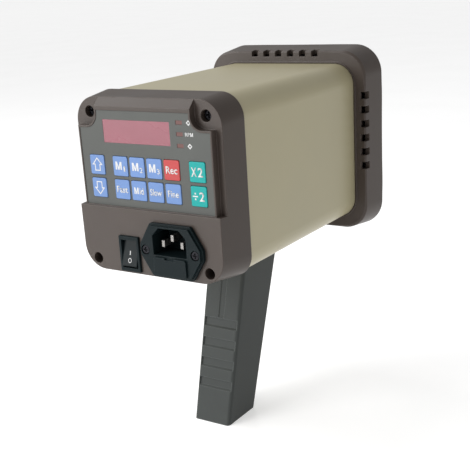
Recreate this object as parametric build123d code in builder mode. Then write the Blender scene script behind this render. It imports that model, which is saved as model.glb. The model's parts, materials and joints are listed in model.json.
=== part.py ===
"""Hand-held mains flash stroboscope: a square metal sleeve between two moulded end housings, on a pistol grip.

Millimetres. +Z is up, +Y is the way the lamp flashes and +X is to the right of a user who reads the panel.
The origin is the middle of the grip's flat foot. The flash axis runs along +Y at the height AXIS_Z.
"""

import os

from build123d import *

os.makedirs("parts", exist_ok=True)

# ---- Driving dimensions -------------------------------------------------------------------------------------------
AXIS_Z = 180.0  # height of the flash axis over the foot
REAR_Y = -68.0  # outer plane of the rear housing's lower face
RIM_Y = REAR_Y + 6.5  # step that surrounds the control panel
JOINT_Y = REAR_Y + 26.5  # rear housing meets the sleeve
RIDGE_Y = REAR_Y + 174.0  # front housing meets the sleeve
FRONT_Y = RIDGE_Y + 24.0  # outer plane of the front housing

FACE_W, FACE_H, FACE_R = 107.0, 109.0, 15.6  # rear housing's outline at the face
JOINT_SIZE, JOINT_R = 113.6, 15.2  # and where it meets the sleeve
SLEEVE_SIZE, SLEEVE_R, SLEEVE_WALL = 111.0, 14.5, 1.2
SLEEVE_TUCK, REAR_TUCK = 8.0, 4.0  # length of sleeve inside the front and rear housings
RIDGE_SIZE, RIDGE_R = 128.4, 18.0  # front housing's outline at its rear edge
FRONT_SIZE, FRONT_R = 133.4, 20.0  # and at its front
FIT = 0.15  # gap per side between parts that slip together

WALL = 2.8
STEP_Z = -12.5  # ledge between the panel and the lower face, from the axis
PANEL_HALF_W, PANEL_TOP = 50.0, 50.0
PANEL_FACE = REAR_Y + 1.5  # the panel block's lip
OVERLAY_FACE = REAR_Y + 1.8
OVERLAY_BACK = REAR_Y + 3.6
MEMBRANE_BACK = REAR_Y + 4.4

SCREW_TOP = (43.7, 45.7)  # from the axis
SCREW_BOTTOM = (43.5, -47.5)
POCKET_R = 7.8
SCREW_SEAT = REAR_Y + 12.0
BOSS_END = REAR_Y + 16.0
SCREW_HEAD_R, SCREW_HEAD_H, SCREW_SHANK_R, SCREW_HOLE_R = 3.3, 2.4, 1.9, 2.0
COUNTERBORE_R = 3.6

KEY_W, KEY_H, KEY_R = 11.3, 12.2, 1.0
KEY_COLUMNS = {"left": -37.3, "first": -19.0, "second": -6.0, "third": 7.0, "fourth": 20.0, "right": 38.5}
KEY_ROWS = {"upper": 13.6, "lower": -0.9}
KEY_PROUD, KEY_THICK, KEY_TRAVEL, KEY_GAP = 0.5, 1.4, 0.4, 0.25
WINDOW_X, WINDOW_Z, WINDOW_W, WINDOW_H = -5.0, 34.9, 50.6, 14.2
LED_X, LED_ROWS, LED_W, LED_H = 27.4, (42.0, 35.2, 28.4), 4.6, 2.4

DISPLAY_BOARD_Y, BOARD_T = REAR_Y + 17.0, 1.6
BOARD_POSTS = [(-42.0, 26.0), (42.0, 26.0), (-42.0, -6.0), (42.0, -6.0)]

SWITCH_X, SWITCH_Z = -16.2, -41.7
SWITCH_BEZEL_W, SWITCH_BEZEL_H, SWITCH_PROUD = 16.0, 23.4, 1.6
SWITCH_BODY_W, SWITCH_BODY_H, SWITCH_DEPTH = 13.6, 19.6, 15.0
ROCKER_W, ROCKER_H, ROCKER_TILT, ROCKER_PIVOT_Y = 11.2, 16.8, 10.0, REAR_Y + 1.4

INLET_X, INLET_Z = 17.6, -36.2
INLET_W, INLET_H, INLET_TOP_W = 47.0, 34.0, 30.0
INLET_CORE_W, INLET_CORE_H, INLET_PROUD, INLET_DEPTH = 27.4, 31.0, 4.0, 22.0
INLET_CORE_RISE = 0.3
INLET_SCREW_SPAN = 37.0
WELL_W, WELL_H, WELL_DEPTH, WELL_RISE = 25.0, 17.2, 17.0, 6.1
DRAWER_W, DRAWER_H, DRAWER_LONG, DRAWER_DROP = 22.6, 9.8, 21.0, 9.3

LENS_R, LENS_T, OPENING_R = 52.5, 3.0, 49.6
RING_IN_R, RING_OUT_R, RING_T, RING_SCREW_R = 49.4, 58.8, 2.4, 55.8
REFLECTOR_BACK, REFLECTOR_FRONT = FRONT_Y - 50.0, FRONT_Y - 5.2
REFLECTOR_HOLE_R, REFLECTOR_MOUTH_R, REFLECTOR_WALL = 9.0, 48.0, 1.0
BULKHEAD_Y = FRONT_Y - 72.0

FOOT_W, FOOT_D, FOOT_R = 29.2, 34.6, 2.4
GRIP_TOP_W, GRIP_TOP_D = 31.0, 45.6
GRIP_TOP_Y = 40.4  # middle of the grip's top, over the foot's middle
GRIP_TOP_Z = AXIS_Z - SLEEVE_SIZE / 2
GRIP_WALL = 2.8
GROOVE_W, GROOVE_H, GROOVE_DEPTH, GROOVE_PITCH, GROOVE_FIRST_Z, GROOVE_COUNT = 26.6, 7.0, 1.3, 13.9, 68.4, 4
SEAM_W, SEAM_DEPTH, SEAM_LOW, SEAM_HIGH = 4.4, 0.5, 72.4, GRIP_TOP_Z - 2

ROD_R = 3.5
ROD_END = FRONT_Y - 14.0


def across(y):
    """The plane square to the flash axis at y, with its own X to the right and its own Y up, seen from behind."""
    return Plane(origin=(0, y, AXIS_Z), x_dir=(1, 0, 0), z_dir=(0, -1, 0))


def level(z):
    """A horizontal plane at height z."""
    return Plane(origin=(0, 0, z))


def beside(x):
    """The plane square to X at x, with its own X forward and its own Y up."""
    return Plane(origin=(x, 0, 0), x_dir=(0, 1, 0), z_dir=(1, 0, 0))


def corners(spot, x_signs=(-1, 1)):
    """The two mirrored places of a spot given as (x, z) from the axis."""
    return [(sign * spot[0], spot[1]) for sign in x_signs]


SCREW_SPOTS = corners(SCREW_TOP) + corners(SCREW_BOTTOM)


def pocket(grow):
    """Both upper screw pockets seen from behind: round towards the panel, open to the housing's top and side."""
    with BuildSketch() as outline:
        for side in (-1, 1):
            with Locations((side * SCREW_TOP[0], SCREW_TOP[1])):
                Circle(POCKET_R + grow)
            with Locations((side * (SCREW_TOP[0] + 10), SCREW_TOP[1] + 10 - POCKET_R - grow)):
                Rectangle(20, 20)
            with Locations((side * (SCREW_TOP[0] + 10 - POCKET_R - grow), SCREW_TOP[1] + 10)):
                Rectangle(20, 20)
    return outline.sketch


def save(builder, name):
    builder.part.label = name
    export_step(builder.part, f"parts/{name}.step")


# ---- Rear housing -------------------------------------------------------------------------------------------------
with BuildPart() as rear_housing:
    with BuildSketch(across(REAR_Y)):
        RectangleRounded(FACE_W, FACE_H, FACE_R)
    with BuildSketch(across(JOINT_Y)):
        RectangleRounded(JOINT_SIZE, JOINT_SIZE, JOINT_R)
    loft()
    with BuildSketch(across(RIM_Y)):  # step around the panel block
        with Locations((0, STEP_Z + 40)):
            Rectangle(140, 80)
        with Locations((0, STEP_Z + 40)):
            Rectangle(2 * PANEL_HALF_W, 80, mode=Mode.SUBTRACT)
    extrude(amount=20, mode=Mode.SUBTRACT)
    with BuildSketch(beside(-FACE_W / 2 - 2)):  # sloping band over the panel
        with BuildLine():
            Polyline(
                (PANEL_FACE, AXIS_Z + PANEL_TOP),
                (RIM_Y, AXIS_Z + FACE_H / 2 + 0.3),
                (RIM_Y, AXIS_Z + 70),
                (REAR_Y - 2, AXIS_Z + 70),
                (REAR_Y - 2, AXIS_Z + PANEL_TOP),
                close=True,
            )
        make_face()
    extrude(amount=FACE_W + 4, mode=Mode.SUBTRACT)
    with BuildSketch(across(PANEL_FACE)):  # the panel's lip lies behind the lower face
        with Locations((0, STEP_Z + 40)):
            Rectangle(140, 80)
    extrude(amount=20, mode=Mode.SUBTRACT)
    with BuildSketch(across(RIM_Y)):  # round pockets over the upper screws
        add(pocket(0))
    extrude(amount=20, mode=Mode.SUBTRACT)
    with BuildSketch(across(MEMBRANE_BACK)):  # recess for the keypad
        with Locations((0, (STEP_Z + 0.5 + PANEL_TOP - 2.4) / 2)):
            RectangleRounded(2 * PANEL_HALF_W - 2, PANEL_TOP - 2.4 - STEP_Z - 0.5, 0.8)
        add(pocket(1.2), mode=Mode.SUBTRACT)
    extrude(amount=10, mode=Mode.SUBTRACT)
    with BuildSketch(across(JOINT_Y)):  # hollow behind the rim
        RectangleRounded(FACE_W - 2 * WALL, FACE_H - 2 * WALL, FACE_R - WALL)
    extrude(amount=JOINT_Y - RIM_Y - WALL, mode=Mode.SUBTRACT)
    with BuildSketch(across(RIM_Y + WALL)):  # hollow behind the panel
        with Locations((0, (STEP_Z + PANEL_TOP) / 2)):
            Rectangle(2 * (PANEL_HALF_W - WALL), PANEL_TOP - STEP_Z - 2 * WALL)
        add(pocket(WALL), mode=Mode.SUBTRACT)
    extrude(amount=RIM_Y + WALL - MEMBRANE_BACK - WALL, mode=Mode.SUBTRACT)
    with BuildSketch(across(RIM_Y + WALL)):  # hollow behind the lower face
        with Locations((0, (-FACE_H / 2 + WALL + STEP_Z - WALL / 2) / 2)):
            RectangleRounded(FACE_W - 2 * WALL, FACE_H / 2 + STEP_Z - 1.5 * WALL, 6)
        with Locations(*corners(SCREW_BOTTOM)):
            Circle(COUNTERBORE_R + 2, mode=Mode.SUBTRACT)
        with Locations(*corners((FACE_W / 2, -FACE_H / 2))):
            Rectangle(20, 14, mode=Mode.SUBTRACT)
    extrude(amount=RIM_Y - REAR_Y, mode=Mode.SUBTRACT)
    with BuildSketch(across(JOINT_Y)):  # socket for the sleeve
        RectangleRounded(SLEEVE_SIZE + 2 * FIT, SLEEVE_SIZE + 2 * FIT, SLEEVE_R)
    extrude(amount=REAR_TUCK, mode=Mode.SUBTRACT)
    with BuildSketch(across(BOSS_END)):  # screw bosses
        with Locations(*SCREW_SPOTS):
            Circle(COUNTERBORE_R + 2)
    extrude(amount=BOSS_END - RIM_Y - 0.5)
    with BuildSketch(across(SCREW_SEAT)):
        with Locations(*SCREW_SPOTS):
            Circle(COUNTERBORE_R)
    extrude(amount=30, mode=Mode.SUBTRACT)
    with BuildSketch(across(BOSS_END)):
        with Locations(*SCREW_SPOTS):
            Circle(SCREW_HOLE_R)
    extrude(amount=30, mode=Mode.SUBTRACT)
    with BuildSketch(across(RIM_Y + WALL)):  # openings in the faces
        with Locations((WINDOW_X, WINDOW_Z)):
            Rectangle(WINDOW_W + 1, WINDOW_H + 1)
        with Locations((SWITCH_X, SWITCH_Z)):
            Rectangle(SWITCH_BODY_W + 0.2, SWITCH_BODY_H + 0.2)
        with Locations((INLET_X, INLET_Z + INLET_CORE_RISE)):
            Rectangle(INLET_CORE_W + 0.4, INLET_CORE_H + 0.4)
        with Locations(*[(INLET_X + s * INLET_SCREW_SPAN / 2, INLET_Z) for s in (-1, 1)]):
            Circle(1.7)
        with Locations(*[(LED_X, z) for z in LED_ROWS]):
            Rectangle(LED_W + 0.4, LED_H + 0.4)
    extrude(amount=30, mode=Mode.SUBTRACT)
    with BuildSketch(across(JOINT_Y)):  # room for the tie rods in front of the bosses
        with Locations(*SCREW_SPOTS):
            Circle(ROD_R + 0.3)
    extrude(amount=JOINT_Y - BOSS_END, mode=Mode.SUBTRACT)
    with BuildSketch(across(DISPLAY_BOARD_Y)):  # posts under the display board, with staked pins
        with Locations(*BOARD_POSTS):
            Circle(2.6)
    extrude(amount=DISPLAY_BOARD_Y - MEMBRANE_BACK - 1.5)
    with BuildSketch(across(DISPLAY_BOARD_Y + BOARD_T + 0.8)):
        with Locations(*BOARD_POSTS):
            Circle(1.2)
    extrude(amount=BOARD_T + 2)
save(rear_housing, "rear_housing")

# ---- Sleeve -------------------------------------------------------------------------------------------------------
SLEEVE_START = JOINT_Y - REAR_TUCK + FIT
SLEEVE_END = RIDGE_Y + SLEEVE_TUCK
BOLT_SPOTS = [(0, GRIP_TOP_Y - 11), (0, GRIP_TOP_Y + 11)]
with BuildPart() as body_sleeve:
    with BuildSketch(across(SLEEVE_END)):
        RectangleRounded(SLEEVE_SIZE, SLEEVE_SIZE, SLEEVE_R)
        RectangleRounded(
            SLEEVE_SIZE - 2 * SLEEVE_WALL, SLEEVE_SIZE - 2 * SLEEVE_WALL, SLEEVE_R - SLEEVE_WALL, mode=Mode.SUBTRACT
        )
    extrude(amount=SLEEVE_END - SLEEVE_START)
    with BuildSketch(level(GRIP_TOP_Z - 1)):
        with Locations(*BOLT_SPOTS):
            Circle(2.7)
    extrude(amount=4, mode=Mode.SUBTRACT)
save(body_sleeve, "body_sleeve")

# ---- Front housing ------------------------------------------------------------------------------------------------
VENT_W, VENT_Y, VENT_PITCH, VENT_COUNT, SIDE_VENT_Z = 5.2, 6.0, 10.0, 6, 8.5
FRONT_WALL = 8.0
with BuildPart() as front_housing:
    with BuildSketch(across(RIDGE_Y)):
        RectangleRounded(RIDGE_SIZE, RIDGE_SIZE, RIDGE_R)
    with BuildSketch(across(FRONT_Y)):
        RectangleRounded(FRONT_SIZE, FRONT_SIZE, FRONT_R)
    loft()
    chamfer(front_housing.faces().sort_by(Axis.Y)[0].outer_wire().edges(), 1.2)
    chamfer(front_housing.faces().sort_by(Axis.Y)[-1].outer_wire().edges(), 1.0)
    with BuildSketch(across(FRONT_Y - FRONT_WALL)):
        RectangleRounded(RIDGE_SIZE - 2 * WALL, RIDGE_SIZE - 2 * WALL, RIDGE_R - WALL)
    extrude(amount=FRONT_Y - FRONT_WALL - RIDGE_Y - WALL, mode=Mode.SUBTRACT)
    with BuildSketch(across(RIDGE_Y + SLEEVE_TUCK + 1)):  # collar around the sleeve's end, with a bead outside
        RectangleRounded(SLEEVE_SIZE + 5, SLEEVE_SIZE + 5, SLEEVE_R + 2.5)
    extrude(amount=SLEEVE_TUCK + 1)
    with BuildSketch(across(RIDGE_Y + 1)):
        RectangleRounded(SLEEVE_SIZE + 2.6, SLEEVE_SIZE + 2.6, SLEEVE_R + 1.3)
    extrude(amount=1.8)
    with BuildSketch(across(RIDGE_Y + SLEEVE_TUCK + 1)):
        RectangleRounded(SLEEVE_SIZE + 2 * FIT, SLEEVE_SIZE + 2 * FIT, SLEEVE_R)
    extrude(amount=SLEEVE_TUCK + 12, mode=Mode.SUBTRACT)
    with BuildSketch(across(FRONT_Y)):  # seats for the reflector's flange and the lens
        Circle(LENS_R + FIT)
    extrude(amount=5.2, mode=Mode.SUBTRACT)
    with BuildSketch(across(FRONT_Y)):
        Circle(OPENING_R)
    extrude(amount=FRONT_WALL + 1, mode=Mode.SUBTRACT)
    with BuildSketch(across(FRONT_Y)):  # front tie screws
        with Locations(*SCREW_SPOTS):
            Circle(COUNTERBORE_R)
    extrude(amount=4.2, mode=Mode.SUBTRACT)
    with BuildSketch(across(ROD_END)):
        with Locations(*SCREW_SPOTS):
            Circle(COUNTERBORE_R + 1.6)
    extrude(amount=-(FRONT_Y - FRONT_WALL - ROD_END) - 0.5)
    with BuildSketch(across(FRONT_Y)):
        with Locations(*SCREW_SPOTS):
            Circle(SCREW_HOLE_R)
    extrude(amount=30, mode=Mode.SUBTRACT)
    with BuildSketch(across(FRONT_Y)):  # lens ring screw holes
        with PolarLocations(RING_SCREW_R, 4):
            Circle(1.2)
    extrude(amount=7, mode=Mode.SUBTRACT)
    vent_steps = [(i - (VENT_COUNT - 1) / 2) * VENT_PITCH for i in range(VENT_COUNT)]
    with BuildSketch(level(AXIS_Z + RIDGE_SIZE / 2 - WALL - 1)):  # vents over the top edge
        with Locations(*[(x, RIDGE_Y + VENT_Y / 2 - 0.5) for x in vent_steps]):
            RectangleRounded(VENT_W, VENT_Y, 1.0)
    extrude(amount=12, mode=Mode.SUBTRACT)
    with BuildSketch(beside(-RIDGE_SIZE)):  # vents over both side edges
        with Locations(*[(RIDGE_Y + VENT_Y / 2 - 0.5, AXIS_Z + SIDE_VENT_Z + z) for z in vent_steps]):
            RectangleRounded(VENT_Y, VENT_W, 1.0)
    extrude(amount=RIDGE_SIZE / 2 + WALL + 1, mode=Mode.SUBTRACT)
    with BuildSketch(beside(RIDGE_SIZE)):
        with Locations(*[(RIDGE_Y + VENT_Y / 2 - 0.5, AXIS_Z + SIDE_VENT_Z + z) for z in vent_steps]):
            RectangleRounded(VENT_Y, VENT_W, 1.0)
    extrude(amount=-RIDGE_SIZE / 2 - WALL - 1, mode=Mode.SUBTRACT)
save(front_housing, "front_housing")

# ---- Keypad -------------------------------------------------------------------------------------------------------
PANEL_MID_Z = (STEP_Z + 0.5 + PANEL_TOP - 2.4) / 2
PANEL_W, PANEL_H = 2 * PANEL_HALF_W - 2, PANEL_TOP - 2.4 - STEP_Z - 0.5
KEY_NAMES = {
    "key_up": ("left", "upper"),
    "key_down": ("left", "lower"),
    "key_store_1": ("first", "upper"),
    "key_store_2": ("second", "upper"),
    "key_store_3": ("third", "upper"),
    "key_record": ("fourth", "upper"),
    "key_fast": ("first", "lower"),
    "key_middle": ("second", "lower"),
    "key_slow": ("third", "lower"),
    "key_fine": ("fourth", "lower"),
    "key_double": ("right", "upper"),
    "key_halve": ("right", "lower"),
}
KEY_SPOTS = {name: (KEY_COLUMNS[column], KEY_ROWS[row]) for name, (column, row) in KEY_NAMES.items()}


def panel_outline(inset):
    """The keypad's outline, cut round the two upper screw pockets."""
    with BuildSketch() as outline:
        with Locations((0, PANEL_MID_Z)):
            RectangleRounded(PANEL_W - 2 * inset, PANEL_H - 2 * inset, 0.6)
        add(pocket(1.2 + inset), mode=Mode.SUBTRACT)
    return outline.sketch


with BuildPart() as keypad_overlay:
    with BuildSketch(across(OVERLAY_BACK)):
        add(panel_outline(0.1))
        with Locations(*KEY_SPOTS.values()):
            RectangleRounded(KEY_W + 2 * KEY_GAP, KEY_H + 2 * KEY_GAP, KEY_R, mode=Mode.SUBTRACT)
        with Locations((WINDOW_X, WINDOW_Z)):
            Rectangle(WINDOW_W, WINDOW_H, mode=Mode.SUBTRACT)
        with Locations(*[(LED_X, z) for z in LED_ROWS]):
            Rectangle(LED_W + 0.1, LED_H + 0.1, mode=Mode.SUBTRACT)
    extrude(amount=OVERLAY_BACK - OVERLAY_FACE)
save(keypad_overlay, "keypad_overlay")

with BuildPart() as keypad_membrane:
    with BuildSketch(across(MEMBRANE_BACK)):
        add(panel_outline(0.1))
        with Locations((WINDOW_X, WINDOW_Z)):
            Rectangle(WINDOW_W + 1, WINDOW_H + 1, mode=Mode.SUBTRACT)
        with Locations(*[(LED_X, z) for z in LED_ROWS]):
            Rectangle(LED_W + 0.4, LED_H + 0.4, mode=Mode.SUBTRACT)
    extrude(amount=MEMBRANE_BACK - OVERLAY_BACK)
save(keypad_membrane, "keypad_membrane")

for name, spot in KEY_SPOTS.items():
    with BuildPart() as key:
        with BuildSketch(across(OVERLAY_FACE - KEY_PROUD + KEY_THICK)):
            with Locations(spot):
                RectangleRounded(KEY_W, KEY_H, KEY_R)
        extrude(amount=KEY_THICK)
        fillet(key.faces().sort_by(Axis.Y)[0].outer_wire().edges(), 0.3)
    save(key, name)

# ---- Display ------------------------------------------------------------------------------------------------------
with BuildPart() as display_window:
    with BuildSketch(across(OVERLAY_BACK)):
        with Locations((WINDOW_X, WINDOW_Z)):
            Rectangle(WINDOW_W - 0.1, WINDOW_H - 0.1)
    extrude(amount=OVERLAY_BACK - OVERLAY_FACE - 0.1)
save(display_window, "display_window")

with BuildPart() as display_module:
    with BuildSketch(across(DISPLAY_BOARD_Y)):
        with Locations((WINDOW_X, WINDOW_Z)):
            Rectangle(WINDOW_W, WINDOW_H)
    extrude(amount=DISPLAY_BOARD_Y - OVERLAY_BACK - 1.0)
save(display_module, "display_module")

with BuildPart() as indicator_leds:
    with BuildSketch(across(DISPLAY_BOARD_Y)):
        with Locations(*[(LED_X, z) for z in LED_ROWS]):
            Rectangle(LED_W, LED_H)
    extrude(amount=DISPLAY_BOARD_Y - OVERLAY_FACE - 0.2)
save(indicator_leds, "indicator_leds")

with BuildPart() as display_board:
    with BuildSketch(across(DISPLAY_BOARD_Y + BOARD_T)):
        with Locations((0, 17)):
            Rectangle(91, 54)
        with Locations(*corners(SCREW_TOP)):
            Circle(POCKET_R + 4.5, mode=Mode.SUBTRACT)
        with Locations(*BOARD_POSTS):
            Circle(1.3, mode=Mode.SUBTRACT)
    extrude(amount=BOARD_T)
save(display_board, "display_board")

# ---- Power switch -------------------------------------------------------------------------------------------------
with BuildPart() as switch_body:
    with BuildSketch(across(REAR_Y)):
        with Locations((SWITCH_X, SWITCH_Z)):
            RectangleRounded(SWITCH_BEZEL_W, SWITCH_BEZEL_H, 0.8)
    extrude(amount=SWITCH_PROUD, taper=12)
    with BuildSketch(across(REAR_Y + SWITCH_DEPTH)):
        with Locations((SWITCH_X, SWITCH_Z)):
            Rectangle(SWITCH_BODY_W, SWITCH_BODY_H)
    extrude(amount=SWITCH_DEPTH)
    with BuildSketch(across(REAR_Y + SWITCH_DEPTH - 4)):
        with Locations((SWITCH_X, SWITCH_Z)):
            Rectangle(ROCKER_W + 0.8, ROCKER_H + 1.5)
    extrude(amount=SWITCH_DEPTH, mode=Mode.SUBTRACT)
    with BuildSketch(beside(SWITCH_X - SWITCH_BODY_W)):
        with Locations((ROCKER_PIVOT_Y, AXIS_Z + SWITCH_Z)):
            Circle(1.3)
    extrude(amount=2 * SWITCH_BODY_W, mode=Mode.SUBTRACT)
save(switch_body, "switch_body")


def rocker_point(y, z):
    """A point of the rocker's neutral outline, turned so that the upper half is pressed in."""
    turned = Vector(0, y, z).rotate(Axis.X, -ROCKER_TILT)
    return (ROCKER_PIVOT_Y + turned.Y, AXIS_Z + SWITCH_Z + turned.Z)


with BuildPart() as switch_rocker:
    with BuildSketch(beside(SWITCH_X - ROCKER_W / 2)):
        with BuildLine():
            Polyline(
                rocker_point(-1.9, 2.4),
                rocker_point(-1.7, ROCKER_H / 2),
                rocker_point(1.5, ROCKER_H / 2 - 0.2),
                rocker_point(5.0, 4.0),
                rocker_point(5.0, -4.0),
                rocker_point(1.5, -ROCKER_H / 2 + 0.2),
                rocker_point(-2.6, -ROCKER_H / 2),
                close=True,
            )
        make_face()
    extrude(amount=ROCKER_W)
    fillet(switch_rocker.edges().filter_by(Axis.X).sort_by(Axis.Y)[0:1], 0.6)
    with BuildSketch(beside(SWITCH_X - ROCKER_W / 2 - 0.9)):
        with Locations((ROCKER_PIVOT_Y, AXIS_Z + SWITCH_Z)):
            Circle(1.0)
    extrude(amount=ROCKER_W + 1.8)
save(switch_rocker, "switch_rocker")

with BuildPart() as switch_terminals:
    with BuildSketch(across(REAR_Y + SWITCH_DEPTH + 8)):
        with Locations((SWITCH_X, SWITCH_Z + 5), (SWITCH_X, SWITCH_Z - 5)):
            Rectangle(4.8, 0.8)
    extrude(amount=8)
save(switch_terminals, "switch_terminals")

# ---- Mains inlet with its fuse drawer -----------------------------------------------------------------------------
INLET_FACE = REAR_Y - INLET_PROUD
WELL_Z, DRAWER_Z = INLET_Z + WELL_RISE, INLET_Z - DRAWER_DROP
PIN_W, PIN_H, PIN_RECESS, PIN_TAIL = 2.0, 4.0, 3.5, 8.0
PIN_SPOTS = [(INLET_X - 7, WELL_Z - 2), (INLET_X + 7, WELL_Z - 2), (INLET_X, WELL_Z + 2)]
INLET_SCREWS = [(INLET_X + s * INLET_SCREW_SPAN / 2, INLET_Z) for s in (-1, 1)]


def flange_outline(inset):
    """The six-sided flange, with its two side points cut off."""
    half_w, half_h, half_top = INLET_W / 2 - inset, INLET_H / 2 - inset, INLET_TOP_W / 2 - inset * 0.6
    with BuildSketch() as outline:
        with Locations((INLET_X, INLET_Z)):
            Polygon(
                (-half_top, half_h),
                (-half_w, 3.2),
                (-half_w, -3.2),
                (-half_top, -half_h),
                (half_top, -half_h),
                (half_w, -3.2),
                (half_w, 3.2),
                (half_top, half_h),
                align=None,
            )
        fillet(outline.vertices(), 1.6)
    return outline.sketch


with BuildPart() as inlet_body:
    with BuildSketch(across(REAR_Y)):
        add(flange_outline(0))
    extrude(amount=2.4)
    with BuildSketch(across(REAR_Y - 2.0)):
        add(flange_outline(1.3))
    extrude(amount=INLET_PROUD - 2.0)
    with BuildSketch(across(REAR_Y + INLET_DEPTH)):
        with Locations((INLET_X, INLET_Z + INLET_CORE_RISE)):
            Rectangle(INLET_CORE_W, INLET_CORE_H)
    extrude(amount=INLET_DEPTH + 1)
    with BuildSketch(across(INLET_FACE + WELL_DEPTH)):  # connector well
        with Locations((INLET_X, WELL_Z)):
            Polygon(
                (-WELL_W / 2, -WELL_H / 2),
                (WELL_W / 2, -WELL_H / 2),
                (WELL_W / 2, WELL_H / 2 - 5),
                (WELL_W / 2 - 5, WELL_H / 2),
                (-WELL_W / 2 + 5, WELL_H / 2),
                (-WELL_W / 2, WELL_H / 2 - 5),
                align=None,
            )
    extrude(amount=WELL_DEPTH + 2, mode=Mode.SUBTRACT)
    with BuildSketch(across(INLET_FACE + DRAWER_LONG + 0.6)):  # drawer well
        with Locations((INLET_X, DRAWER_Z)):
            Rectangle(DRAWER_W + 0.4, DRAWER_H + 0.4)
    extrude(amount=DRAWER_LONG + 3, mode=Mode.SUBTRACT)
    with BuildSketch(across(REAR_Y + INLET_DEPTH)):  # slots of the pins
        with Locations(*PIN_SPOTS):
            Rectangle(PIN_W, PIN_H)
    extrude(amount=INLET_DEPTH, mode=Mode.SUBTRACT)
    with BuildSketch(across(INLET_FACE)):  # screw holes and the seats of the heads
        with Locations(*INLET_SCREWS):
            Circle(1.7)
    extrude(amount=-12, mode=Mode.SUBTRACT)
    with BuildSketch(across(REAR_Y - 2.0)):
        with Locations(*INLET_SCREWS):
            Circle(3.2)
    extrude(amount=6, mode=Mode.SUBTRACT)
save(inlet_body, "inlet_body")

with BuildPart() as inlet_pins:
    with BuildSketch(across(REAR_Y + INLET_DEPTH + PIN_TAIL)):
        with Locations(*PIN_SPOTS):
            Rectangle(PIN_W, PIN_H)
    extrude(amount=INLET_DEPTH + PIN_TAIL + INLET_PROUD - PIN_RECESS)
save(inlet_pins, "inlet_pins")

with BuildPart() as fuse_drawer:
    with BuildSketch(across(INLET_FACE)):
        with Locations((INLET_X, DRAWER_Z)):
            RectangleRounded(DRAWER_W + 1.4, DRAWER_H + 1.6, 1.2)
    extrude(amount=1.3)
    with BuildSketch(across(INLET_FACE + DRAWER_LONG)):
        with Locations((INLET_X, DRAWER_Z)):
            Rectangle(DRAWER_W, DRAWER_H)
    extrude(amount=DRAWER_LONG)
    with BuildSketch(across(INLET_FACE)):  # grip notch
        with Locations((INLET_X, DRAWER_Z + DRAWER_H / 2 + 0.8)):
            Rectangle(7, 2.4)
    extrude(amount=2, mode=Mode.SUBTRACT)
    with BuildSketch(level(AXIS_Z + DRAWER_Z - DRAWER_H / 2 + 2.2)):  # fuse trough, open at the top
        with Locations((INLET_X, INLET_FACE + 15)):
            Rectangle(20.6, 6.4)
    extrude(amount=12, mode=Mode.SUBTRACT)
save(fuse_drawer, "fuse_drawer")

FUSE_R, FUSE_LONG, FUSE_CAP_LONG = 2.6, 20.0, 5.0
FUSE_SPOT = (INLET_FACE + 15, AXIS_Z + DRAWER_Z - DRAWER_H / 2 + 2.25 + FUSE_R)
with BuildPart() as fuse_glass:
    with BuildSketch(beside(INLET_X - FUSE_LONG / 2 + 0.5)):
        with Locations(FUSE_SPOT):
            Circle(FUSE_R - 0.3)
    extrude(amount=FUSE_LONG - 1)
save(fuse_glass, "fuse_glass")

with BuildPart() as fuse_caps:
    for start in (-FUSE_LONG / 2, FUSE_LONG / 2 - FUSE_CAP_LONG):
        with BuildSketch(beside(INLET_X + start)):
            with Locations(FUSE_SPOT):
                Circle(FUSE_R)
        extrude(amount=FUSE_CAP_LONG)
    with BuildSketch(beside(INLET_X - FUSE_LONG / 2 + 0.5)):
        with Locations(FUSE_SPOT):
            Circle(FUSE_R - 0.3)
    extrude(amount=FUSE_LONG - 1, mode=Mode.SUBTRACT)
save(fuse_caps, "fuse_caps")


def crosses(y, spots, size):
    """Cross-head outlines on the outer faces of the screw heads that lie at y."""
    with BuildSketch(across(y)) as outline:
        with Locations(*spots):
            Rectangle(size, size * 0.24)
            Rectangle(size * 0.24, size)
    return outline.sketch


with BuildPart() as inlet_screws:
    with BuildSketch(across(REAR_Y - 2.0)):
        with Locations(*INLET_SCREWS):
            Circle(2.8)
    extrude(amount=1.7)
    fillet(inlet_screws.faces().sort_by(Axis.Y)[0:2].edges(), 0.5)
    with BuildSketch(across(REAR_Y + 7.4)):
        with Locations(*INLET_SCREWS):
            Circle(1.5)
    extrude(amount=9.4)
    extrude(crosses(REAR_Y - 3.7, INLET_SCREWS, 3.4), amount=-1.0, mode=Mode.SUBTRACT)
save(inlet_screws, "inlet_screws")

INNER_FACE = REAR_Y + WALL
with BuildPart() as inlet_nuts:
    with BuildSketch(across(INNER_FACE + 2.2)):
        with Locations(*INLET_SCREWS):
            RegularPolygon(3.1, 6)
            Circle(1.5, mode=Mode.SUBTRACT)
    extrude(amount=2.2)
save(inlet_nuts, "inlet_nuts")

# ---- Screws and tie rods ------------------------------------------------------------------------------------------
with BuildPart() as rear_screws:
    with BuildSketch(across(SCREW_SEAT)):
        with Locations(*SCREW_SPOTS):
            Circle(SCREW_HEAD_R)
    extrude(amount=SCREW_HEAD_H)
    fillet(rear_screws.faces().sort_by(Axis.Y)[0:4].edges(), 0.8)
    with BuildSketch(across(BOSS_END + 10)):
        with Locations(*SCREW_SPOTS):
            Circle(SCREW_SHANK_R)
    extrude(amount=BOSS_END + 10 - SCREW_SEAT)
    extrude(crosses(SCREW_SEAT - SCREW_HEAD_H, SCREW_SPOTS, 4.2), amount=-1.6, mode=Mode.SUBTRACT)
save(rear_screws, "rear_screws")

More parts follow.
